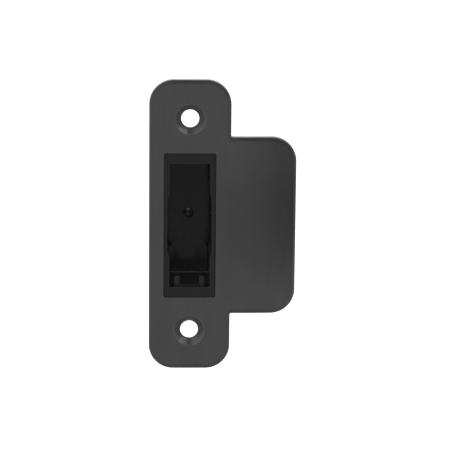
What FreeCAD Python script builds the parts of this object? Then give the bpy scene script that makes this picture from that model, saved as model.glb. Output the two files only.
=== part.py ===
"""Door strike plate with a lip, and a moulded latch box set in its opening.

Millimetres. X runs to the right across the plate, Y from the door into the frame, and Z is up. The
origin is midway between the two screw holes, on the plate's back face, which seats on the frame.
"""

import FreeCAD, Part
import math
import os

# Plate
plate_height = 90.0
strip_width = 25.0
plate_thickness = 3.0
corner_radius = 7.5

# Die roll round the plate's front edge: a shallow slope with a soft start and a small round at its foot
die_roll_width = 0.9
die_roll_depth = 0.25
die_roll_start_radius = 3.0
die_roll_foot_radius = 0.25

# Lip
lip_reach = 20.0
lip_height = 55.0
lip_root_radius = 0.5
lip_curve_radius = 250.0
lip_flat_length = 2.0

# Screw holes
hole_spacing = 66.0
hole_diameter = 5.5
countersink_diameter = 9.5
countersink_angle = 90.0

# Opening in the plate, and the rebate behind it that takes the box's flange
opening_width = 16.0
opening_height = 45.0
opening_corner_radius = 0.5
opening_edge_rounding = 0.2
rebate_depth = 1.2
flange_overhang = 2.0
flange_corner_radius = 1.5

# Clearances
box_clearance = 0.1
floor_plate_end_clearance = 0.1
floor_plate_side_clearance = 0.2
rivet_clearance = 0.05

# Latch box
rim_setback = 0.2
rim_side = 1.65
rim_end = 3.1
mouth_corner_radius = 0.4
mouth_edge_rounding = 0.25
pocket_depth = 22.0
tub_end_wall = 1.7
tub_floor = 2.0
tub_corner_radius = 1.5
tub_back_rounding = 1.0

# Recesses in the long sides of the pocket
recess_depth = 0.6
recess_flat_length = 16.6
recess_bevel = 1.5

# Stop ribs at the pocket's lower end, with a low bar between them
rib_width = 1.6
rib_height = 3.4
rib_depth = 5.0
rib_top_depth = 1.7
rib_centre = 3.8
rib_setback = 0.3
rib_nose_radius = 0.3
bar_height = 0.5
bar_depth = 1.0
bar_setback = 1.2
bar_rounding = 0.3

# Bead on the lower wall that laps over the floor plate's edge
bead_height = 0.4
bead_depth = 0.4
bead_rounding = 0.3

# Floor plate, which widens into the recesses and has a round relief notch below each of them
floor_plate_thickness = 1.5
floor_plate_corner_radius = 0.5
notch_diameter = 2.0
notch_centre_below = 10.0

# Floor rivet and its boss behind the box
head_diameter = 3.2
head_height = 0.8
head_edge_height = 0.2
shank_diameter = 1.8
shank_length = 4.2
shank_end_rounding = 0.2
boss_diameter = 5.0
boss_height = 1.5

# Places worked out from the sizes above
bend_x = strip_width / 2 + lip_flat_length
face_y = -plate_thickness
rim_y = face_y + rim_setback
flange_y = -rebate_depth + box_clearance
floor_y = face_y + pocket_depth
pocket_bottom_y = floor_y + floor_plate_thickness
tub_back_y = pocket_bottom_y + tub_floor
mouth_width = opening_width - 2 * box_clearance - 2 * rim_side
mouth_height = opening_height - 2 * box_clearance - 2 * rim_end
lower_wall_z = -mouth_height / 2
recess_half_width = mouth_width / 2 + recess_depth

# How far a cutting shape runs past what it cuts, and how near counts as the same place
cut_past = 1.0
near = 1e-3
tiny = 1e-6


def edges_along_y(solid, wanted=None):
    """The edges of a solid that run along Y, all of them or those where the function wanted says so."""
    found = []
    for edge in solid.Edges:
        first, last = edge.firstVertex().Point, edge.lastVertex().Point
        along = abs(first.x - last.x) < tiny and abs(first.z - last.z) < tiny
        if along and (wanted is None or wanted(first)):
            found.append(edge)
    return found


def block(width, height, y_front, y_back, x=0.0, z=0.0, radius=0.0):
    """A block centred on x and z between two planes across Y, with its four long edges rounded."""
    corner = FreeCAD.Vector(x - width / 2, y_front, z - height / 2)
    solid = Part.makeBox(width, y_back - y_front, height, corner)
    if radius > 0:
        solid = solid.makeFillet(radius, edges_along_y(solid))
    return solid


def prism(points, y_front, y_back):
    """A prism along Y over an outline given as (x, z) points."""
    corners = [FreeCAD.Vector(x, y_front, z) for x, z in points]
    outline = Part.makePolygon(corners + corners[:1])
    return Part.Face(outline).extrude(FreeCAD.Vector(0, y_back - y_front, 0))


def rod(diameter, y_front, y_back, x=0.0, z=0.0):
    """A cylinder along Y."""
    start = FreeCAD.Vector(x, y_front, z)
    return Part.makeCylinder(diameter / 2, y_back - y_front, start, FreeCAD.Vector(0, 1, 0))


def edges_on_plane(solid, y, width, height):
    """The edges of a solid that lie on a plane across Y, inside a centred window of that width and height."""
    found = []
    for edge in solid.Edges:
        box = edge.BoundBox
        on_plane = abs(box.YMin - y) < tiny and abs(box.YMax - y) < tiny
        in_width = max(-box.XMin, box.XMax) < width / 2 + tiny
        in_height = max(-box.ZMin, box.ZMax) < height / 2 + tiny
        if on_plane and in_width and in_height:
            found.append(edge)
    return found


def front_surface_y(x):
    """Where the front surface lies in Y: on one plane across the strip, on an arc along the lip."""
    along = max(x - bend_x, 0.0)
    radius = lip_curve_radius + plate_thickness
    return lip_curve_radius - math.sqrt(radius**2 - along**2)


def lip_sheet():
    """The strip and its lip as one bent sheet: flat across the strip, then a slow curve backwards."""
    left = -strip_width / 2 - cut_past
    turn = math.asin((strip_width / 2 + lip_reach + cut_past - bend_x) / lip_curve_radius)
    centre = FreeCAD.Vector(bend_x, lip_curve_radius, 0)

    def arc(radius):
        points = []
        for share in (0.0, 0.5, 1.0):
            angle = turn * share
            points.append(centre + FreeCAD.Vector(radius * math.sin(angle), -radius * math.cos(angle), 0))
        return points

    front = arc(lip_curve_radius + plate_thickness)
    back = arc(lip_curve_radius)
    start_front = FreeCAD.Vector(left, face_y, 0)
    start_back = FreeCAD.Vector(left, 0, 0)
    edges = [
        Part.LineSegment(start_front, front[0]).toShape(),
        Part.Arc(*front).toShape(),
        Part.LineSegment(front[2], back[2]).toShape(),
        Part.Arc(*back).toShape(),
        Part.LineSegment(back[0], start_back).toShape(),
        Part.LineSegment(start_back, start_front).toShape(),
    ]
    height = plate_height + 2 * cut_past
    sheet = Part.Face(Part.Wire(edges)).extrude(FreeCAD.Vector(0, 0, height))
    sheet.translate(FreeCAD.Vector(0, 0, -height / 2))
    return sheet


def plate_outline():
    """The T-shaped outline as a tall prism: the strip and its lip, with round corners."""
    past = plate_thickness + lip_reach
    half = strip_width / 2
    lip_edge = half + lip_reach
    outline = [
        (-half, -plate_height / 2),
        (half, -plate_height / 2),
        (half, -lip_height / 2),
        (lip_edge, -lip_height / 2),
        (lip_edge, lip_height / 2),
        (half, lip_height / 2),
        (half, plate_height / 2),
        (-half, plate_height / 2),
    ]
    solid = prism(outline, -past, past)

    def at_lip_root(point):
        return abs(point.x - half) < tiny and abs(abs(point.z) - lip_height / 2) < tiny

    solid = solid.makeFillet(corner_radius, edges_along_y(solid, lambda point: not at_lip_root(point)))
    return solid.makeFillet(lip_root_radius, edges_along_y(solid, at_lip_root))


def edges_round_front(solid, depth=0.0):
    """The edges round the plate that lie at a depth behind its front surface."""
    found = []
    for edge in solid.Edges:
        middle = edge.valueAt((edge.FirstParameter + edge.LastParameter) / 2)
        at_depth = abs(middle.y - front_surface_y(middle.x) - depth) < near
        box = edge.BoundBox
        where_bend_starts = abs(box.XMin - bend_x) < near and abs(box.XMax - bend_x) < near
        if at_depth and not where_bend_starts:
            found.append(edge)
    return found


def strike_plate():
    """The steel plate: bent, blanked with a die roll round its front, pierced and countersunk."""
    solid = lip_sheet().common(plate_outline())
    solid = solid.makeChamfer(die_roll_width, die_roll_depth, edges_round_front(solid))
    solid = solid.makeFillet(die_roll_start_radius, edges_round_front(solid))
    solid = solid.makeFillet(die_roll_foot_radius, edges_round_front(solid, die_roll_depth))
    opening = block(
        opening_width, opening_height, face_y - cut_past, cut_past, radius=opening_corner_radius
    )
    solid = solid.cut(opening)
    opening_edges = edges_on_plane(solid, face_y, opening_width, opening_height)
    solid = solid.makeFillet(opening_edge_rounding, opening_edges)
    rebate = block(
        opening_width + 2 * flange_overhang,
        opening_height + 2 * flange_overhang,
        -rebate_depth,
        cut_past,
        radius=flange_corner_radius,
    )
    solid = solid.cut(rebate)
    sink = (countersink_diameter - hole_diameter) / 2 / math.tan(math.radians(countersink_angle / 2))
    for side in (-1, 1):
        z = side * hole_spacing / 2
        hole = rod(hole_diameter, face_y - cut_past, cut_past, z=z)
        mouth = FreeCAD.Vector(0, face_y, z)
        along = FreeCAD.Vector(0, 1, 0)
        cone = Part.makeCone(countersink_diameter / 2, hole_diameter / 2, sink, mouth, along)
        solid = solid.cut(hole).cut(cone)
    return solid


def pocket_middle(half_width, half_width_in_recess, y_front, y_back):
    """The middle stretch of the pocket's outline as a prism, with its bevelled widening into the recesses."""
    flat = recess_flat_length / 2
    bevel_end = flat + recess_bevel
    right = [
        (half_width, -bevel_end),
        (half_width_in_recess, -flat),
        (half_width_in_recess, flat),
        (half_width, bevel_end),
    ]
    left = [(-x, z) for x, z in reversed(right)]
    return prism(right + left, y_front, y_back)


def latch_box():
    """The moulded box: rim in the opening, flange in the rebate, tub behind, and the pocket."""
    rim = block(
        opening_width - 2 * box_clearance,
        opening_height - 2 * box_clearance,
        rim_y,
        0,
        radius=opening_corner_radius - box_clearance,
    )
    flange = block(
        opening_width + 2 * flange_overhang - 2 * box_clearance,
        opening_height + 2 * flange_overhang - 2 * box_clearance,
        flange_y,
        0,
        radius=flange_corner_radius - box_clearance,
    )
    tub = block(
        opening_width - 2 * box_clearance,
        mouth_height + 2 * tub_end_wall,
        flange_y,
        tub_back_y,
        radius=tub_corner_radius,
    )
    back = [edge for edge in tub.Edges if edge.BoundBox.YMin > tub_back_y - tiny]
    tub = tub.makeFillet(tub_back_rounding, back)
    boss = rod(boss_diameter, pocket_bottom_y, tub_back_y + boss_height)
    solid = rim.fuse([flange, tub, boss]).removeSplitter()

    pocket = block(
        mouth_width, mouth_height, face_y - cut_past, pocket_bottom_y, radius=mouth_corner_radius
    )
    middle = pocket_middle(mouth_width / 2, recess_half_width, face_y - cut_past, pocket_bottom_y)
    pocket = pocket.fuse(middle).removeSplitter()
    solid = solid.cut(pocket)
    mouth_edges = edges_on_plane(solid, rim_y, 2 * recess_half_width, mouth_height)
    solid = solid.makeFillet(mouth_edge_rounding, mouth_edges)

    solid = solid.fuse([stop_rib(-1), stop_rib(1), stop_bar(), retaining_bead()]).removeSplitter()
    pilot = rod(shank_diameter + 2 * rivet_clearance, floor_y, floor_y + shank_length + rivet_clearance)
    return solid.cut(pilot)


def stop_rib(side):
    """One of the two ribs on the pocket's lower wall: an upright front that falls away towards the back."""
    front = rim_y + rib_setback
    x = side * rib_centre - rib_width / 2
    foot = lower_wall_z - tub_end_wall / 2
    top = lower_wall_z + rib_height
    corners = [
        FreeCAD.Vector(x, front, foot),
        FreeCAD.Vector(x, front, top),
        FreeCAD.Vector(x, front + rib_top_depth, top),
        FreeCAD.Vector(x, front + rib_depth, lower_wall_z),
        FreeCAD.Vector(x, front + rib_depth, foot),
    ]
    outline = Part.makePolygon(corners + corners[:1])
    solid = Part.Face(outline).extrude(FreeCAD.Vector(rib_width, 0, 0))
    nose = []
    for edge in solid.Edges:
        box = edge.BoundBox
        on_top = box.ZMin > top - tiny
        up_the_front = box.YMax < front + tiny and box.ZLength > rib_height
        if on_top or up_the_front:
            nose.append(edge)
    return solid.makeFillet(rib_nose_radius, nose)


def ridge(length, height, y_front, depth, rounding):
    """A low ridge across the pocket's lower wall, with its top front edge rounded."""
    foot = lower_wall_z - tub_end_wall / 2
    top = lower_wall_z + height
    solid = block(length, top - foot, y_front, y_front + depth, z=(top + foot) / 2)
    nose = []
    for edge in solid.Edges:
        box = edge.BoundBox
        if box.ZMin > top - tiny and box.YMax < y_front + tiny:
            nose.append(edge)
    return solid.makeFillet(rounding, nose)


def stop_bar():
    """The low bar that joins the two ribs."""
    front = rim_y + rib_setback + bar_setback
    return ridge(2 * rib_centre, bar_height, front, bar_depth, bar_rounding)


def retaining_bead():
    """The rounded bead across the lower wall, just in front of the floor plate."""
    return ridge(mouth_width, bead_height, floor_y - bead_depth, bead_depth, bead_rounding)


def floor_plate():
    """The plate on the pocket's floor, with its wide middle, two notches and the hole for its rivet."""
    half_width = mouth_width / 2 - floor_plate_side_clearance
    half_width_in_recess = recess_half_width - floor_plate_side_clearance
    height = mouth_height - 2 * floor_plate_end_clearance
    solid = block(2 * half_width, height, floor_y, pocket_bottom_y, radius=floor_plate_corner_radius)
    middle = pocket_middle(half_width, half_width_in_recess, floor_y, pocket_bottom_y)
    solid = solid.fuse(middle).removeSplitter()
    front = floor_y - cut_past
    back = pocket_bottom_y + cut_past
    for side in (-1, 1):
        x = side * half_width_in_recess
        solid = solid.cut(rod(notch_diameter, front, back, x=x, z=-notch_centre_below))
    return solid.cut(rod(shank_diameter + 2 * rivet_clearance, front, back))


def floor_rivet():
    """The small rivet that holds the floor plate: a domed head, and a shank pressed into the box's boss."""
    rise = head_height - head_edge_height
    sphere_radius = ((head_diameter / 2) ** 2 + rise**2) / (2 * rise)
    crown_y = floor_y - head_height
    head = rod(head_diameter, crown_y, floor_y)
    head = head.common(Part.makeSphere(sphere_radius, FreeCAD.Vector(0, crown_y + sphere_radius, 0)))
    tip_y = floor_y + shank_length
    shank = rod(shank_diameter, floor_y, tip_y)
    tip = [edge for edge in shank.Edges if edge.BoundBox.YMin > tip_y - tiny]
    shank = shank.makeFillet(shank_end_rounding, tip)
    return head.fuse(shank).removeSplitter()


def write_parts():
    """Builds every piece and writes it as its own STEP file."""
    os.makedirs("parts", exist_ok=True)
    pieces = {
        "strike_plate": strike_plate(),
        "latch_box": latch_box(),
        "floor_plate": floor_plate(),
        "floor_rivet": floor_rivet(),
    }
    for name, shape in pieces.items():
        shape = shape.Solids[0] if len(shape.Solids) == 1 else shape
        box = shape.BoundBox
        print(f"{name}: {len(shape.Solids)} solid, valid {shape.isValid()}, {shape.Volume:.1f} mm3")
        print(f"  x {box.XMin:.2f} {box.XMax:.2f}, y {box.YMin:.2f} {box.YMax:.2f}")
        print(f"  z {box.ZMin:.2f} {box.ZMax:.2f}")
        shape.exportStep(f"parts/{name}.step")


write_parts()
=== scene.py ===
"""Looks of a door strike plate: black coated steel with a moulded latch box set in its opening."""

import bmesh
import bpy
import numpy as np
from mathutils import Matrix, Vector
from mathutils.geometry import delaunay_2d_cdt


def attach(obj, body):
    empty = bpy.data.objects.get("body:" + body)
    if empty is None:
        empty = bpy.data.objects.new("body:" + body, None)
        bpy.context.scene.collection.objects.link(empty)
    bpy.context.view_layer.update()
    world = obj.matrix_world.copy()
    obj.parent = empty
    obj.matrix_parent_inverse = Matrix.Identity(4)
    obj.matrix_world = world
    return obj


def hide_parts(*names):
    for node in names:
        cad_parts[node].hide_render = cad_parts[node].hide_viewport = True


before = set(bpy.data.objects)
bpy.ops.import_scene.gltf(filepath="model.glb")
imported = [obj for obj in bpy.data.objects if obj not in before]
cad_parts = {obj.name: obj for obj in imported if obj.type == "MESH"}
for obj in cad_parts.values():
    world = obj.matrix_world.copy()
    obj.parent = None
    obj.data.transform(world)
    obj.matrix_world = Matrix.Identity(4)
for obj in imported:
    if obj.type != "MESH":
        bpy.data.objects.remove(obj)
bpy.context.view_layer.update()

# Camera: a long lens far in front of the plate, a little above it and to its left, and hardly turned about
# its own axis. Lengths are in millimetres, and pixels are those of a picture 450 pixels wide.
MM = 0.001
aim = np.array([10.79, -3.0, 0.36])
distance = 648.2
look_down, look_right, roll = np.radians([11.39, 2.25, 0.54])
focal_length_pixels = 2116.0
picture_pixels = 450


def in_scene(name, data):
    """A new object in the scene."""
    thing = bpy.data.objects.new(name, data)
    bpy.context.scene.collection.objects.link(thing)
    return thing


look = np.array([np.sin(look_right), np.cos(look_right), 0]) * np.cos(look_down) - [0, 0, np.sin(look_down)]
right = np.array([np.cos(look_right), -np.sin(look_right), 0])
up = np.cross(right, look)
rolled_right = np.cos(roll) * right + np.sin(roll) * up
rolled_up = np.cos(roll) * up - np.sin(roll) * right
camera_data = bpy.data.cameras.new("camera")
camera_data.lens = focal_length_pixels / picture_pixels * camera_data.sensor_width
camera = in_scene("camera", camera_data)
pose = np.eye(4)
pose[:3] = np.column_stack([rolled_right, rolled_up, -look, (aim - distance * look) * MM])
camera.matrix_world = Matrix(pose.tolist())
bpy.context.scene.camera = camera


# Strike plate: one piece of 3 mm sheet steel, blanked to a T, which rolled its front edge over. Its lip
# curves slowly backwards. It is pierced for the box and countersunk for two screws, then coated with satin
# black powder.
plate_height = 90.0
strip_width = 25.0
plate_thickness = 3.0
lip_reach = 20.0
lip_height = 55.0
corner_radius = 7.5
lip_root_radius = 0.5
die_roll_width = 0.9
die_roll_depth = 0.25
die_roll_start_radius = 3.0
die_roll_foot_radius = 0.25
side_ring_y = -1.0
back_rounding = 0.2
lip_curve_radius = 250.0
lip_flat_length = 2.0
hole_spacing = 66.0
hole_radius = 2.75
countersink_radius = 4.75
countersink_mouth_rounding = 0.5
opening_width = 16.0
opening_height = 45.0
opening_corner_radius = 0.5
opening_edge_rounding = 0.2
rebate_depth = 1.2
flange_overhang = 2.0
flange_corner_radius = 1.5


def rectangle(width, height):
    """The four corners of an upright rectangle round the middle, counter-clockwise, as (x, z) rows."""
    return np.array([[-width, -height], [width, -height], [width, height], [-width, height]]) / 2


def rounded(corners, radii, steps=10):
    """A closed outline through corners, counter-clockwise, each rounded by an arc that touches both sides.

    Where h is half the angle at a corner, an arc of radius r has its centre r / sin(h) along the bisector and
    starts r / tan(h) before the corner. It turns through 180 degrees less twice h, towards the next side.
    """
    corners = np.array(corners, float)
    radii = np.broadcast_to(np.array(radii, float), len(corners))[:, None]
    after = np.roll(corners, -1, axis=0) - corners
    before = np.roll(corners, 1, axis=0) - corners
    after /= np.linalg.norm(after, axis=1, keepdims=True)
    before /= np.linalg.norm(before, axis=1, keepdims=True)
    bisector = after + before
    bisector /= np.linalg.norm(bisector, axis=1, keepdims=True)
    half = np.arccos((after * before).sum(axis=1, keepdims=True)) / 2
    centre = corners + bisector * radii / np.sin(half)
    start = corners + before * radii / np.tan(half) - centre
    across = np.stack([-start[:, 1], start[:, 0]], axis=1)
    bend = np.sign(before[:, 1:] * after[:, :1] - before[:, :1] * after[:, 1:])
    angle = bend * (np.pi - 2 * half) * np.linspace(0, 1, steps + 1)
    cosine, sine = np.cos(angle)[..., None], np.sin(angle)[..., None]
    arcs = centre[:, None] + cosine * start[:, None] + sine * across[:, None]
    return arcs.reshape(-1, 2)


def spread(outline, longest=2.0):
    """The same closed outline with even points added to each run that is longer than a length."""
    run = np.roll(outline, -1, axis=0) - outline
    parts = np.ceil(np.linalg.norm(run, axis=1) / longest).astype(int).clip(1)
    first = np.repeat(np.arange(len(outline)), parts)
    share = (np.arange(len(first)) - np.repeat(np.cumsum(parts) - parts, parts)) / parts[first]
    return outline[first] + share[:, None] * run[first]


def circle(radius, z=0.0, steps=64):
    """A circle about a height z as a closed counter-clockwise outline."""
    angle = np.arange(steps) / steps * 2 * np.pi
    return np.stack([radius * np.cos(angle), z + radius * np.sin(angle)], axis=1)


def quarter(radius, y_front, steps=8):
    """A rounded edge as a profile of (outwards, y), from the face at y_front to the side, a quarter turn.

    At angle a the edge is radius * (1 - sin a) inside the side and radius * (1 - cos a) behind the face.
    Times [-1, 1], it is the edge of a hole.
    """
    angle = np.linspace(0, np.pi / 2, steps + 1)
    return np.stack([-radius * (1 - np.sin(angle)), y_front + radius * (1 - np.cos(angle))], axis=1)


def back_quarter(radius, y_back, steps=8):
    """A rounded edge from the side to the back at y_back: a front one, turned over and taken backwards."""
    return quarter(radius, -y_back, steps)[::-1] * [1, -1]


def die_roll(y_front):
    """The rolled front edge as a profile of (outwards, y): an arc into a shallow slope, then one to the side.

    The slope is s = atan(depth / width). The first arc, of radius R, turns from 0 to s and starts
    R * tan(s / 2) before the slope's corner. The second, of radius r, turns from s to 90 degrees and ends
    r * tan(45 degrees - s / 2) behind the slope's foot.
    """
    slope = np.arctan(die_roll_depth / die_roll_width)
    first = np.linspace(0, slope, 6)
    last = np.linspace(slope, np.pi / 2, 7)
    start = -die_roll_width - die_roll_start_radius * np.tan(slope / 2)
    side_y = y_front + die_roll_depth + die_roll_foot_radius * np.tan(np.pi / 4 - slope / 2)
    into_slope = [
        start + die_roll_start_radius * np.sin(first),
        y_front + die_roll_start_radius * (1 - np.cos(first)),
    ]
    to_side = [die_roll_foot_radius * (np.sin(last) - 1), side_y - die_roll_foot_radius * np.cos(last)]
    return np.concatenate([np.transpose(into_slope), np.transpose(to_side)])


def grown(outline, outwards):
    """An outline moved outwards, square to the line between each point's two neighbours."""
    along = np.roll(outline, -1, axis=0) - np.roll(outline, 1, axis=0)
    along /= np.linalg.norm(along, axis=1, keepdims=True)
    return outline + outwards * np.stack([along[:, 1], -along[:, 0]], axis=1)


def at_depth(outline, y):
    """An outline of (x, z) laid on the plane across Y at a depth."""
    return np.stack([outline[:, 0], np.full(len(outline), y), outline[:, 1]], axis=1)


def carried(outline, profile):
    """Loops of (x, y, z), one for each point of a profile of (outwards, y), carried round an outline."""
    return np.array([at_depth(grown(outline, outwards), y) for outwards, y in profile])


def skin(loops):
    """The points and the four-sided faces between loops that close on themselves."""
    index = np.arange(loops.shape[0] * loops.shape[1]).reshape(loops.shape[:2])
    after = np.roll(index, -1, axis=1)
    faces = np.stack([index[:-1], after[:-1], after[1:], index[1:]], axis=-1)
    return loops.reshape(-1, 3), faces.reshape(-1, 4)


def inside(points, outlines):
    """Whether each point is inside, where a ray along X crosses the outlines an odd number of times."""
    crossings = np.zeros(len(points), int)
    for outline in outlines:
        after = np.roll(outline, -1, axis=0)
        rise = after[:, 1] - outline[:, 1]
        share = (points[:, None, 1] - outline[:, 1]) / np.where(rise == 0, 1, rise)
        crossed_at = outline[:, 0] + share * (after[:, 0] - outline[:, 0])
        spans = (outline[:, 1] > points[:, None, 1]) != (after[:, 1] > points[:, None, 1])
        crossings += (spans & (crossed_at > points[:, None, 0])).sum(axis=1)
    return crossings % 2 == 1


def filled(outlines, y):
    """The flat area at depth y inside the first outline and outside the others, as points and triangles.

    A square lattice of points is laid inside, clear of the outlines, and a Delaunay triangulation joins all.
    """
    lattice = 3.0
    tolerance = 1e-7
    border = np.concatenate(outlines)
    links = []
    for outline in outlines:
        index = np.arange(len(outline)) + sum(len(link) for link in links)
        links.append(np.stack([index, np.roll(index, -1)], axis=1))
    low, high = outlines[0].min(axis=0), outlines[0].max(axis=0)
    x, z = [np.arange(low[axis] + lattice / 2, high[axis], lattice) for axis in (0, 1)]
    middle = np.stack(np.meshgrid(x, z), axis=-1).reshape(-1, 2)
    nearest = np.linalg.norm(middle[:, None] - border, axis=2).min(axis=1)
    middle = middle[inside(middle, outlines) & (nearest > lattice / 2)]
    points = [Vector(point) for point in np.concatenate([border, middle]).tolist()]
    points, _, triangles, *_ = delaunay_2d_cdt(points, np.concatenate(links).tolist(), [], 0, tolerance)
    points, triangles = np.array(points), np.array(triangles)
    triangles = triangles[inside(points[triangles].mean(axis=1), outlines)]
    return at_depth(points, y), triangles


def welded(name, patches, shares={}):
    """One closed mesh object from patches of points in millimetres and faces, smooth but for its sharp edges.

    Each named share becomes an attribute of the piece's points: a patch's number and its points' values.
    """
    sharp_from = np.radians(35)
    merged_within = 1e-4 * MM
    points = np.concatenate([points for points, _ in patches]) * MM
    starts = np.cumsum([0] + [len(points) for points, _ in patches])
    faces = [face for (_, rows), start in zip(patches, starts) for face in (rows + start).tolist()]
    mesh = bpy.data.meshes.new(name)
    mesh.from_pydata(points.tolist(), [], faces)
    for share_name, (patch, values) in shares.items():
        spread_share = np.zeros(len(points), np.float32)
        spread_share[starts[patch] : starts[patch + 1]] = values
        mesh.attributes.new(share_name, "FLOAT", "POINT").data.foreach_set("value", spread_share)
    solid = bmesh.new()
    solid.from_mesh(mesh)
    bmesh.ops.remove_doubles(solid, verts=solid.verts, dist=merged_within)
    bmesh.ops.dissolve_degenerate(solid, edges=solid.edges, dist=merged_within)
    bmesh.ops.recalc_face_normals(solid, faces=solid.faces)
    solid.to_mesh(mesh)
    solid.free()
    mesh.shade_smooth()
    mesh.set_sharp_from_angle(angle=sharp_from)
    piece = in_scene(name, mesh)
    normals = piece.modifiers.new("flat faces stay flat", "WEIGHTED_NORMAL")
    normals.keep_sharp = True
    return piece


def bent(points):
    """Points of the flat blank bent with the lip, whose curve is an arc about an upright line behind it.

    At a reach a past the lip's flat root, a point at depth y goes to the depth R - sqrt((R - y)^2 - a^2).
    """
    past_root = np.clip(points[:, 0] - strip_width / 2 - lip_flat_length, 0, None)
    y = lip_curve_radius - np.sqrt((lip_curve_radius - points[:, 1]) ** 2 - past_root**2)
    return np.stack([points[:, 0], y, points[:, 2]], axis=1)


half_width, half_height = strip_width / 2, plate_height / 2
lip_edge, half_lip = strip_width / 2 + lip_reach, lip_height / 2
t_corners = [
    (-half_width, -half_height),
    (half_width, -half_height),
    (half_width, -half_lip),
    (lip_edge, -half_lip),
    (lip_edge, half_lip),
    (half_width, half_lip),
    (half_width, half_height),
    (-half_width, half_height),
]
at_lip_root = [x == half_width and abs(z) == half_lip for x, z in t_corners]
t_outline = spread(rounded(t_corners, np.where(at_lip_root, lip_root_radius, corner_radius), steps=24))
face_y = -plate_thickness
edge_profile = np.concatenate([
    die_roll(face_y),
    [(0, side_ring_y), (0, -back_rounding)],
    back_quarter(back_rounding, 0, steps=3),
])
opening = spread(rounded(rectangle(opening_width, opening_height), opening_corner_radius))
opening_profile = np.concatenate([
    quarter(opening_edge_rounding, face_y) * [-1, 1],
    [(0, -rebate_depth)],
])
rebate = rectangle(opening_width + 2 * flange_overhang, opening_height + 2 * flange_overhang)
rebate = spread(rounded(rebate, flange_corner_radius))

# A countersink's mouth is an arc of radius r that turns from the face to the cone's 45 degrees. It starts
# r * tan(22.5 degrees) outside the cone's edge.
mouth_angle = np.linspace(0, np.pi / 4, 6)
mouth_tangent = countersink_mouth_rounding * np.tan(np.pi / 8)
countersink_profile = np.concatenate([
    np.stack([
        countersink_radius + mouth_tangent - countersink_mouth_rounding * np.sin(mouth_angle) - hole_radius,
        face_y + countersink_mouth_rounding * (1 - np.cos(mouth_angle)),
    ], axis=1),
    [(0.0, face_y + countersink_radius - hole_radius)],
    back_quarter(back_rounding, 0, steps=3) * [-1, 1],
])
screw_holes = [circle(hole_radius, z=side * hole_spacing / 2) for side in (-1, 1)]
front_holes = [
    grown(opening, opening_profile[0, 0]),
    *[grown(hole, countersink_profile[0, 0]) for hole in screw_holes],
]
back_holes = [rebate, *[grown(hole, countersink_profile[-1, 0]) for hole in screw_holes]]
patches = [
    skin(carried(t_outline, edge_profile)),
    skin(carried(opening, opening_profile)),
    skin(carried(rebate, [(0, -rebate_depth), (0, 0)])),
    *[skin(carried(hole, countersink_profile)) for hole in screw_holes],
    filled([grown(t_outline, edge_profile[0, 0]), *front_holes], face_y),
    filled([grown(t_outline, edge_profile[-1, 0]), *back_holes], 0.0),
    filled([rebate, opening], -rebate_depth),
]
patches = [(bent(points), faces) for points, faces in patches]

# How far painted shade darkens the coat over the rolled edge, from 0 to 1 across the edge's points. It is
# less where the edge faces sideways.
roll_shade_steps = np.array([0, 0.5, 0.8, 0.95, 1, 1, 1, 0.5, 0.2, 0])
roll_shade_at_sides = 0.3
outwards = grown(t_outline, 1.0) - t_outline
up_or_down = np.clip(np.abs(outwards[:, 1]) / np.linalg.norm(outwards, axis=1), roll_shade_at_sides, 1)
painted_roll_shade = np.zeros((len(edge_profile), len(t_outline)))
painted_roll_shade[: len(roll_shade_steps)] = roll_shade_steps[:, None] * up_or_down
plate = welded("plate_with_lip", patches, shares={"painted_roll_shade": (0, painted_roll_shade.ravel())})


def linear(hex_colour):
    """An sRGB hex colour, such as #3e3e3e, as linear red, green, blue and full alpha."""
    srgb = np.array([int(hex_colour[start : start + 2], 16) for start in (1, 3, 5)]) / 255
    return (*np.where(srgb <= 0.04045, srgb / 12.92, ((srgb + 0.055) / 1.055) ** 2.4).tolist(), 1.0)


def add_node(owner, kind, inputs={}, **properties):
    """Adds a node to a material or world. An input is a value, or the output of a node to link it to."""
    node = owner.node_tree.nodes.new(kind)
    for name, value in properties.items():
        setattr(node, name, value)
    for name, value in inputs.items():
        if isinstance(value, bpy.types.NodeSocket):
            owner.node_tree.links.new(value, node.inputs[name])
        else:
            node.inputs[name].default_value = value
    return node


def with_nodes(owner):
    """A material or world that uses nodes and has none yet."""
    owner.use_nodes = True
    owner.node_tree.nodes.clear()
    return owner


def new_material(name):
    """A material with no shader yet, and the place of each point of its piece in metres."""
    material = with_nodes(bpy.data.materials.new(name))
    return material, add_node(material, "ShaderNodeTexCoord").outputs["Object"]


def grain(material, place, size):
    """Noise whose spots have a size in millimetres along X, Y and Z. Nearly all of it is from 0.3 to 0.7."""
    per_metre = tuple(1 / (length * MM) for length in size)
    stretched = add_node(material, "ShaderNodeVectorMath", {0: place, 1: per_metre}, operation="MULTIPLY")
    inputs = {"Vector": stretched.outputs[0], "Scale": 1.0, "Detail": 2.0}
    return add_node(material, "ShaderNodeTexNoise", inputs).outputs[0]


def scaled(owner, base, value, low, high, start=0.3, end=0.7, curve="LINEAR"):
    """A base times a factor, which goes from low to high while a value goes from start to end.

    The start and end that it has by default are a grain's.
    """
    span = {"Value": value, "From Min": start, "From Max": end, "To Min": low, "To Max": high}
    factor = add_node(owner, "ShaderNodeMapRange", span, interpolation_type=curve).outputs[0]
    return add_node(owner, "ShaderNodeMath", {0: base, 1: factor}, operation="MULTIPLY").outputs[0]


def shaded(material, tone, least, steps):
    """A tone times a factor that goes from 1 to least where all the steps are full.

    Each step is a place along an axis in metres, where the step begins and where it is full.
    """
    share = 1.0
    for along, begins, full in steps:
        share = scaled(material, share, along, 0.0, 1.0, begins, full, "SMOOTHSTEP")
    return scaled(material, tone, share, 1.0, least, 0.0, 1.0)


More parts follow.
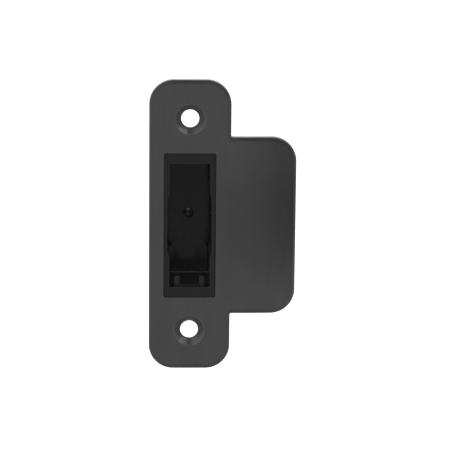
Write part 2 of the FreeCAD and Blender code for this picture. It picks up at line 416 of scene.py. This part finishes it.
def finished(material, inputs, bump, bump_height):
    """Ends a material with its shader, over a bump of a height in millimetres."""
    bumped = add_node(material, "ShaderNodeBump", {"Height": bump, "Distance": bump_height * MM})
    shader = add_node(material, "ShaderNodeBsdfPrincipled", {**inputs, "Normal": bumped.outputs[0]})
    add_node(material, "ShaderNodeOutputMaterial", {"Surface": shader.outputs[0]})


# Satin black powder coat: a dark grey with a soft sheen, a little uneven. The steel's upright brushing
# shows through as faint streaks, drawn coarser than real so that they show. Painted shade darkens the
# lip's upper part, the face beside the opening and the rolled edge, most where that faces up or down.
powder_coat, place = new_material("satin_black_powder_coat")
streaks = grain(powder_coat, place, (0.5, 0.5, 14.0))
clouds = grain(powder_coat, place, (7.0, 7.0, 16.0))
x, _, z = add_node(powder_coat, "ShaderNodeSeparateXYZ", {0: place}).outputs
# Places where painted shade darkens the coat: the lip's upper part and the face beside the opening.
towards_lip_edge = (x, 0.012, 0.031)
above_lip_foot = (z, -0.024, 0.002)
beside_opening = (x, -0.002, 0.01)
below_opening_top = (z, 0.024, 0.006)
roll_shade_share = add_node(powder_coat, "ShaderNodeAttribute", attribute_name="painted_roll_shade").outputs["Fac"]
tone = scaled(powder_coat, linear("#494949")[0], streaks, 0.975, 1.025)
tone = scaled(powder_coat, tone, clouds, 0.94, 1.06)
# Painted shade over the lip's upper part, then beside the opening.
tone = shaded(powder_coat, tone, 0.73, [towards_lip_edge, above_lip_foot])
tone = shaded(powder_coat, tone, 0.78, [beside_opening, above_lip_foot, below_opening_top])
# Painted shade darkens the coat over the rolled edge.
tone = scaled(powder_coat, tone, roll_shade_share, 1.0, 0.74, 0.0, 1.0)
roughness = scaled(powder_coat, 0.2, clouds, 0.8, 1.0)
finished(powder_coat, {"IOR": 1.5, "Base Color": tone, "Roughness": roughness}, streaks, 0.0004)
plate.data.materials.append(powder_coat)
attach(plate, "root")
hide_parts("strike_plate")


# Latch box: one moulding in black plastic, pressed into the opening from behind until its flange seats in the
# rebate. Its pocket has a shallow recess in each side wall, and two ribs, a bar and a bead on its lower wall.
box_clearance = 0.1
rim_setback = 0.2
rim_side = 1.65
rim_end = 3.1
rim_edge_rounding = 0.15
mouth_corner_radius = 0.4
mouth_edge_rounding = 0.2
pocket_depth = 22.0
floor_plate_thickness = 1.5
tub_end_wall = 1.7
tub_floor = 2.0
tub_corner_radius = 1.5
tub_back_rounding = 1.0
recess_depth = 0.6
recess_flat_length = 16.6
recess_bevel = 1.5
recess_corner_radius = 0.5
rib_width = 1.6
rib_height = 3.2
rib_depth = 4.0
rib_top_depth = 0.7
rib_centre = 3.8
rib_setback = 1.3
rib_nose_radius = 0.3
bar_height = 0.5
bar_depth = 1.0
bar_setback = 0.4
bar_rounding = 0.1
bead_height = 0.4
bead_depth = 0.4
bead_rounding = 0.3
boss_radius = 2.5
boss_height = 1.5
boss_rounding = 0.3
pilot_radius = 0.95
pilot_depth = 4.25
# Painted light on the pocket's walls grows from the first depth to the second, in millimetres.
painted_light_begins_y = -2.0
full_painted_light_y = 9.0

rim_y = face_y + rim_setback
flange_y = -rebate_depth + box_clearance
floor_y = face_y + pocket_depth
pocket_bottom_y = floor_y + floor_plate_thickness
tub_back_y = pocket_bottom_y + tub_floor
boss_end_y = tub_back_y + boss_height
pilot_end_y = floor_y + pilot_depth
rim_width = opening_width - 2 * box_clearance
rim_height = opening_height - 2 * box_clearance
mouth_half_width = rim_width / 2 - rim_side
mouth_half_height = rim_height / 2 - rim_end
recess_half_width = mouth_half_width + recess_depth
recess_half_flat = recess_flat_length / 2
recess_end = recess_half_flat + recess_bevel
rib_left, rib_right = rib_centre - rib_width / 2, rib_centre + rib_width / 2
rib_front = rim_y + rib_setback
rib_back = rib_front + rib_depth
bar_front = rib_front + bar_setback
bead_front = floor_y - bead_depth

# Stations on the lower wall lie closer together across the ribs' noses and slopes than between them, and an
# upright front or side stands between two stations one step apart.
step_width = 0.02
middle_spacing = 0.5
first_beside_rib = 0.3
beside_spacing = 0.4
slope_spacing = 0.3
first_behind_rib = 1.0
wall_spacing = 1.5


def nose_drop(behind, radius):
    """How far a rounded edge lies below its flat top: radius - sqrt(radius^2 - (radius - behind)^2)."""
    behind = np.clip(behind, 0, radius)
    return radius - np.sqrt(radius**2 - (radius - behind) ** 2)


def nose_stations(front, radius):
    """Places across a rounded edge, evenly turned, after one just in front of it where the step is."""
    angle = np.linspace(0, np.pi / 2, 5)
    return np.append(front - step_width, front + radius * (1 - np.cos(angle)))


def relief(x, y):
    """Height of the ribs, the bar and the bead over the lower wall at a place across and a depth.

    A rib is level, then falls to the wall at its back. Its front and sides stand upright and end in a nose.
    The bar and the bead are level ridges with a nose along their front.
    """
    from_side = rib_width / 2 - np.abs(np.abs(x) - rib_centre)
    slope = rib_height * (rib_back - y) / (rib_depth - rib_top_depth)
    rib = np.minimum(slope, rib_height) - nose_drop(y - rib_front, rib_nose_radius)
    rib -= nose_drop(from_side, rib_nose_radius)
    rib[(from_side < -step_width / 2) | (y < rib_front - step_width / 2)] = 0
    bar = bar_height - nose_drop(y - bar_front, bar_rounding)
    bar_ends = (y < bar_front - step_width / 2) | (y > bar_front + bar_depth + step_width / 2)
    bar[bar_ends | (np.abs(x) > rib_centre)] = 0
    bead = bead_height - nose_drop(y - bead_front, bead_rounding)
    bead[(y < bead_front - step_width / 2) | (y > floor_y + step_width / 2)] = 0
    return np.max([rib, bar, bead, np.zeros_like(bead)], axis=0)


mouth_right = [
    (mouth_half_width, -mouth_half_height),
    (mouth_half_width, -recess_end),
    (recess_half_width, -recess_half_flat),
    (recess_half_width, recess_half_flat),
    (mouth_half_width, recess_end),
    (mouth_half_width, mouth_half_height),
]
mouth_radii = [mouth_corner_radius] + 4 * [recess_corner_radius] + [mouth_corner_radius]
mouth_corners = mouth_right + [(-x, z) for x, z in reversed(mouth_right)]
mouth = rounded(mouth_corners, mouth_radii + mouth_radii[::-1], steps=6)
across = np.concatenate([
    nose_stations(rib_left, rib_nose_radius),
    rib_left + rib_right - nose_stations(rib_left, rib_nose_radius),
    [rib_centre],
    np.arange(middle_spacing, rib_left - middle_spacing / 2, middle_spacing),
    np.arange(rib_right + first_beside_rib, mouth_half_width - mouth_corner_radius, beside_spacing),
])
across = np.sort(np.concatenate([-across, [0], across]))
lower_run = np.stack([across, np.full(len(across), -mouth_half_height)], axis=1)
mouth = spread(np.concatenate([mouth, lower_run]))

depths = np.unique(np.concatenate([
    nose_stations(rib_front, rib_nose_radius),
    np.arange(rib_front + rib_top_depth, rib_back + slope_spacing / 2, slope_spacing),
    nose_stations(bar_front, bar_rounding),
    [bar_front + bar_depth, bar_front + bar_depth + step_width],
    np.arange(rib_back + first_behind_rib, bead_front - wall_spacing / 2, wall_spacing),
    nose_stations(bead_front, bead_rounding),
    [floor_y, floor_y + step_width, pocket_bottom_y],
]).round(4))
mouth_profile = np.concatenate([
    quarter(mouth_edge_rounding, rim_y, steps=5) * [-1, 1],
    np.stack([np.zeros(len(depths)), depths], axis=1),
])
pocket = carried(mouth, mouth_profile)
height = relief(pocket[..., 0], pocket[..., 1])
lifted = np.maximum(pocket[..., 2], height - mouth_half_height)
pocket[..., 2] = np.where(height > 0, lifted, pocket[..., 2])

rim = spread(rounded(rectangle(rim_width, rim_height), opening_corner_radius - box_clearance))
rim_profile = np.append(quarter(rim_edge_rounding, rim_y, steps=4), [(0, flange_y)], axis=0)
flange = rectangle(rim_width + 2 * flange_overhang, rim_height + 2 * flange_overhang)
flange = spread(rounded(flange, flange_corner_radius - box_clearance))
tub = spread(rounded(rectangle(rim_width, 2 * (mouth_half_height + tub_end_wall)), tub_corner_radius))
tub_profile = np.concatenate([[(0, 0.0)], back_quarter(tub_back_rounding, tub_back_y)])
boss = circle(boss_radius)
boss_profile = np.concatenate([[(0, tub_back_y)], back_quarter(boss_rounding, boss_end_y)])
pilot = circle(pilot_radius)
patches = [
    skin(pocket),
    filled([grown(rim, -rim_edge_rounding), grown(mouth, mouth_edge_rounding)], rim_y),
    skin(carried(rim, rim_profile)),
    filled([flange, rim], flange_y),
    skin(carried(flange, [(0, flange_y), (0, 0)])),
    filled([flange, tub], 0.0),
    skin(carried(tub, tub_profile)),
    filled([grown(tub, -tub_back_rounding), boss], tub_back_y),
    skin(carried(boss, boss_profile)),
    filled([grown(boss, -boss_rounding)], boss_end_y),
    filled([mouth, pilot], pocket_bottom_y),
    skin(carried(pilot, [(0, pocket_bottom_y), (0, pilot_end_y)])),
    filled([pilot], pilot_end_y),
]
# How deep each point of the pocket lies, as a share for the painted light on its walls.
painted_light_depth = np.clip((pocket[..., 1] - painted_light_begins_y) / (full_painted_light_y - painted_light_begins_y), 0, 1)
latch_box = welded("moulded_latch_box", patches, shares={"painted_light_depth": (0, painted_light_depth.ravel())})

# Moulded black plastic: a fine matt grain left by the mould, drawn coarser than real so that it shows, with
# slightly uneven tone and sheen. Painted light makes the pocket's walls greyer and a little uneven, most deep
# inside and least on the lower wall.
moulded_plastic, place = new_material("fine_matt_moulded_plastic")
clouds = grain(moulded_plastic, place, (3.0, 3.0, 5.0))
mould_grain = grain(moulded_plastic, place, (0.35, 0.35, 0.35))
*_, z = add_node(moulded_plastic, "ShaderNodeSeparateXYZ", {0: place}).outputs
within = add_node(moulded_plastic, "ShaderNodeAttribute", attribute_name="painted_light_depth").outputs["Fac"]
# Painted light on the pocket's walls: uneven, and less on the lower wall.
dust_and_painted_light = scaled(moulded_plastic, within, clouds, 0.016, 0.024)
dust_and_painted_light = scaled(moulded_plastic, dust_and_painted_light, z, 1.4, 2.0, -0.0188, -0.0165)
tone = scaled(moulded_plastic, linear("#1e1e1e")[0], clouds, 0.93, 1.07)
tone = add_node(moulded_plastic, "ShaderNodeMath", {0: tone, 1: dust_and_painted_light}, operation="ADD").outputs[0]
roughness = scaled(moulded_plastic, 0.2, clouds, 1.0, 1.3)
finished(moulded_plastic, {"IOR": 1.5, "Base Color": tone, "Roughness": roughness}, mould_grain, 0.002)
latch_box.data.materials.append(moulded_plastic)
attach(latch_box, "root")
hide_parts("latch_box")


# Floor plate: a stamped steel plate painted semi-gloss black, laid on the pocket's floor. It widens into the
# recesses and has a round relief notch below each of them. A rivet in its middle holds it.
wall_clearance = 0.06
recess_clearance = 0.2
end_clearance = 0.1
floor_corner_radius = 0.5
floor_edge_rounding = 0.12
notch_radius = 1.0
notch_below = 10.0


def arc(centre, radius, first, last, steps=10):
    """Points on a circle about a centre, from one angle in degrees to another."""
    angle = np.radians(np.linspace(first, last, steps + 1))
    return np.array(centre) + radius * np.stack([np.cos(angle), np.sin(angle)], axis=1)


# The notch cuts the plate's bevel where a line along the bevel meets the notch's circle, which is a quadratic
# in the reach along that line.
narrow = mouth_half_width - wall_clearance
wide = recess_half_width - recess_clearance
end = mouth_half_height - end_clearance
bevel = np.array([narrow - wide, -recess_bevel]) / np.hypot(narrow - wide, recess_bevel)
notch_centre = np.array([wide, -notch_below])
to_notch = notch_centre - [wide, -recess_half_flat]
along_bevel = to_notch @ bevel
reach = along_bevel - np.sqrt(along_bevel**2 - to_notch @ to_notch + notch_radius**2)
notch_top = [wide, -recess_half_flat] + reach * bevel - notch_centre
first_angle = 180 + np.degrees(np.arccos((wide - narrow) / notch_radius))
last_angle = np.degrees(np.arctan2(notch_top[1], notch_top[0]))
right_side = np.concatenate([
    arc((narrow - floor_corner_radius, floor_corner_radius - end), floor_corner_radius, -90, 0),
    arc(notch_centre, notch_radius, first_angle, last_angle, steps=16),
    [(wide, -recess_half_flat), (wide, recess_half_flat), (narrow, recess_end)],
    arc((narrow - floor_corner_radius, end - floor_corner_radius), floor_corner_radius, 0, 90),
])
floor_outline = spread(np.concatenate([right_side, right_side[::-1] * [-1, 1]]), longest=1.5)
floor_profile = np.concatenate([
    quarter(floor_edge_rounding, floor_y, steps=4),
    [(0, pocket_bottom_y)],
])
patches = [
    skin(carried(floor_outline, floor_profile)),
    filled([grown(floor_outline, -floor_edge_rounding), pilot], floor_y),
    filled([floor_outline, pilot], pocket_bottom_y),
    skin(carried(pilot, [(0, floor_y), (0, pocket_bottom_y)])),
]
floor_plate = welded("pocket_floor_plate", patches)

# Semi-gloss black paint: a smooth dark coat with faint upright streaks and soft patches of dust. Painted
# light and shade make it lighter in its lower half and darker near its top, and painted light lies along
# its lower end.
floor_paint, place = new_material("semi_gloss_black_paint")
streaks = grain(floor_paint, place, (1.2, 1.2, 18.0))
dust_and_painted_light = grain(floor_paint, place, (2.2, 2.2, 3.5))
*_, z = add_node(floor_paint, "ShaderNodeSeparateXYZ", {0: place}).outputs
dust_patches = scaled(floor_paint, 0.012, dust_and_painted_light, 0.0, 1.0, 0.5, 0.8, "SMOOTHSTEP")
# Painted light along the plate's lower end.
painted_light_at_lower_end = scaled(floor_paint, 0.028, z, 1.0, 0.0, -0.0185, -0.0105)
tone = scaled(floor_paint, linear("#2a2a2a")[0], streaks, 0.94, 1.06)
tone = add_node(floor_paint, "ShaderNodeMath", {0: tone, 1: dust_patches}, operation="ADD").outputs[0]
# Painted light and shade: lighter in the lower half, darker near the top.
tone = scaled(floor_paint, tone, z, 1.2, 0.75, 0.0, 0.018, "SMOOTHSTEP")
tone = add_node(floor_paint, "ShaderNodeMath", {0: tone, 1: painted_light_at_lower_end}, operation="ADD").outputs[0]
roughness = scaled(floor_paint, 0.2, streaks, 0.7, 0.9)
finished(floor_paint, {"IOR": 1.5, "Base Color": tone, "Roughness": roughness}, streaks, 0.0005)
floor_plate.data.materials.append(floor_paint)
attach(floor_plate, "root")
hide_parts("floor_plate")


# Floor rivet: a small steel rivet, blackened, with a smooth domed head. Its shank goes through the floor
# plate and is pressed into the boss behind the pocket.
head_radius = 1.6
head_height = 0.8
head_edge_height = 0.33
head_rounding = 0.15
shank_radius = 0.9
shank_length = 4.2
shank_end_rounding = 0.2

# The dome is part of a sphere of radius R = (head radius^2 + rise^2) / (2 * rise). A ring of radius r on it
# lies R - sqrt(R^2 - r^2) behind its crown.
crown_y = floor_y - head_height
dome_rise = head_height - head_edge_height
dome_radius = (head_radius**2 + dome_rise**2) / (2 * dome_rise)
rings = np.linspace(0.05, 1, 20) * (head_radius - head_rounding)
dome = np.stack([rings - head_radius, crown_y + dome_radius - np.sqrt(dome_radius**2 - rings**2)], axis=1)
to_shank = shank_radius - head_radius
rivet_profile = np.concatenate([
    dome,
    quarter(head_rounding, dome[-1, 1], steps=4)[1:],
    [(0, floor_y), (to_shank, floor_y)],
    back_quarter(shank_end_rounding, floor_y + shank_length) + [to_shank, 0],
])
rivet_edge = circle(head_radius, steps=48)
patches = [
    skin(carried(rivet_edge, rivet_profile)),
    filled([grown(rivet_edge, rivet_profile[0, 0])], rivet_profile[0, 1]),
    filled([grown(rivet_edge, rivet_profile[-1, 0])], rivet_profile[-1, 1]),
]
floor_rivet = welded("domed_floor_rivet", patches)

# Blackened steel: a dark skin of oxide under a film of oil, smooth and glossy and a little blotchy. That skin
# shines as glass does, not as bare metal.
black_oxide, place = new_material("blackened_steel")
clouds = grain(black_oxide, place, (0.6, 0.6, 0.6))
tone = scaled(black_oxide, linear("#3e3e3e")[0], clouds, 0.85, 1.15)
roughness = scaled(black_oxide, 0.1, clouds, 1.0, 1.4)
finished(black_oxide, {"IOR": 1.7, "Base Color": tone, "Roughness": roughness}, clouds, 0.001)
floor_rivet.data.materials.append(black_oxide)
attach(floor_rivet, "root")
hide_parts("floor_rivet")


# Studio: a pale floor well below the plate, a white room behind it and a grey one in front, darkest where
# the plate's face mirrors it to the lens and brightest in a wide ring round that. One soft box stands at
# the upper right, and weaker ones at the upper left and behind.
world = with_nodes(bpy.data.worlds.new("studio"))
bpy.context.scene.world = world
ray = add_node(world, "ShaderNodeLightPath").outputs
direction = add_node(world, "ShaderNodeTexCoord").outputs["Generated"]
ray_x, ray_y, ray_z = add_node(world, "ShaderNodeSeparateXYZ", {0: direction}).outputs


def towards(to_right, above):
    """How near a ray is to a direction in degrees from straight in front: 1 along it, 0 at right angles."""
    turn, rise = np.radians([to_right, above])
    way = (np.sin(turn) * np.cos(rise), -np.cos(turn) * np.cos(rise), np.sin(rise))
    nearness = add_node(world, "ShaderNodeVectorMath", {0: direction, 1: way}, operation="DOT_PRODUCT")
    return nearness.outputs["Value"]


# The room's tones lie in rings round about the direction that the plate's face mirrors to the lens. Their
# places go from 0, straight away from it, to 1 along it.
facing = add_node(world, "ShaderNodeMapRange", {"Value": towards(0, -8), "From Min": -1.0}).outputs[0]
room = add_node(world, "ShaderNodeValToRGB", {0: facing})
tones = [
    (0.0, 0.62),
    (0.45, 0.34),
    (0.5, 0.45),
    (0.63, 0.92),
    (0.735, 1.25),
    (0.835, 1.3),
    (0.894, 1.0),
    (0.925, 0.6),
    (0.955, 0.36),
    (0.98, 0.26),
    (0.99, 0.24),
    (0.997, 0.31),
    (1.0, 0.33),
]
while len(room.color_ramp.elements) < len(tones):
    room.color_ramp.elements.new(1.0)
for element, (position, tone) in zip(room.color_ramp.elements, tones):
    element.position = position
    element.color = (tone, tone, tone, 1)

# Patches of the room: degrees to the right and above, where they are full and where they end, and their share
# of the room's tone. All but the last are darker.
room_patches = [
    (0, 22, 8, 14, 0.05),
    (22, 2, 12, 21, 0.1),
    (0, 11, 10, 17, 0.5),
    (0, -52, 8, 20, 0.5),
    (0, 84, 12, 24, 0.15),
    (0, -90, 18, 35, 1.7),
]
shade = 1.0
for to_right, above, full_within, ends_at, share in room_patches:
    near, far = np.cos(np.radians([full_within, ends_at]))
    shade = scaled(world, shade, towards(to_right, above), 1.0, share, far, near, "SMOOTHSTEP")

# The room is also a little brighter on the left than on the right, and above than below.
shade = scaled(world, shade, ray_x, 1.05, 0.92, -1.0, 1.0)
shade = scaled(world, shade, ray_z, 0.78, 1.18, -0.6, 0.6)
room_light = add_node(world, "ShaderNodeBackground", {"Color": room.outputs[0], "Strength": shade})

# The camera sees a white room, directly or through glass, and so does a mirrored ray that goes backwards and
# not far up.
backdrop = scaled(world, ray["Is Glossy Ray"], ray_y, 0.0, 1.0, 0.1, 0.3, "SMOOTHSTEP")
backdrop = scaled(world, backdrop, ray_z, 1.0, 0.0, 0.02, 0.1, "SMOOTHSTEP")
seen = ray["Is Camera Ray"]
for also_seen in (ray["Is Transmission Ray"], backdrop):
    seen = add_node(world, "ShaderNodeMath", {0: seen, 1: also_seen}, operation="MAXIMUM").outputs[0]
white = add_node(world, "ShaderNodeBackground", {"Color": (1, 1, 1, 1), "Strength": 1.0})
mix = add_node(world, "ShaderNodeMixShader", {0: seen, 1: room_light.outputs[0], 2: white.outputs[0]})
add_node(world, "ShaderNodeOutputWorld", {"Surface": mix.outputs[0]})

# The floor is clear to light: only the camera sees it, directly or through glass.
floor_level = -0.15
floor_width = 8.0
floor_mesh = bpy.data.meshes.new("studio_floor")
floor_corners = [(x, y, floor_level) for x, y in rectangle(floor_width, floor_width).tolist()]
floor_mesh.from_pydata(floor_corners, [], [(0, 1, 2, 3)])
studio_floor = in_scene("studio_floor", floor_mesh)
floor_card = with_nodes(bpy.data.materials.new("pale_floor_card"))
ray = add_node(floor_card, "ShaderNodeLightPath").outputs
seen_by = {0: ray["Is Camera Ray"], 1: ray["Is Transmission Ray"]}
seen = add_node(floor_card, "ShaderNodeMath", seen_by, operation="MAXIMUM").outputs[0]
pale = {
    "Base Color": (0.8, 0.8, 0.8, 1),
    "Roughness": 0.9,
    "Emission Color": (1, 1, 1, 1),
    "Emission Strength": 0.8,
}
card = add_node(floor_card, "ShaderNodeBsdfPrincipled", pale)
clear = add_node(floor_card, "ShaderNodeBsdfTransparent")
mix = add_node(floor_card, "ShaderNodeMixShader", {0: seen, 1: clear.outputs[0], 2: card.outputs[0]})
add_node(floor_card, "ShaderNodeOutputMaterial", {"Surface": mix.outputs[0]})
floor_mesh.materials.append(floor_card)

softbox_aim = Vector((0.01, 0, 0))
softbox_distance = 0.6


def softbox(name, from_upright, forwards, width, depth, brightness):
    """A soft box that faces the plate, as wide and deep as given in metres.

    It stands from_upright degrees from straight up towards +X, and forwards degrees in front of the plate.
    Its power is pi * area * brightness, so its face is as bright as a white of that value.
    """
    turn, tilt = np.radians([from_upright, forwards])
    way = Vector((np.sin(turn) * np.cos(tilt), -np.sin(tilt), np.cos(turn) * np.cos(tilt)))
    data = bpy.data.lights.new(name, "AREA")
    data.shape = "RECTANGLE"
    data.size, data.size_y = width, depth
    data.energy = float(np.pi * width * depth * brightness)
    side = Vector((0, -1, 0)).cross(way).normalized()
    axes = Matrix((side, way.cross(side), way)).transposed().to_4x4()
    axes.translation = softbox_aim + way * softbox_distance
    in_scene(name, data).matrix_world = axes


softbox("key", from_upright=36, forwards=9, width=0.48, depth=0.1, brightness=1.85)
softbox("top_left", from_upright=-36, forwards=12, width=0.48, depth=0.12, brightness=0.35)
softbox("back", from_upright=0, forwards=-70, width=0.8, depth=0.3, brightness=0.5)

bpy.context.scene.view_settings.view_transform = "Standard"
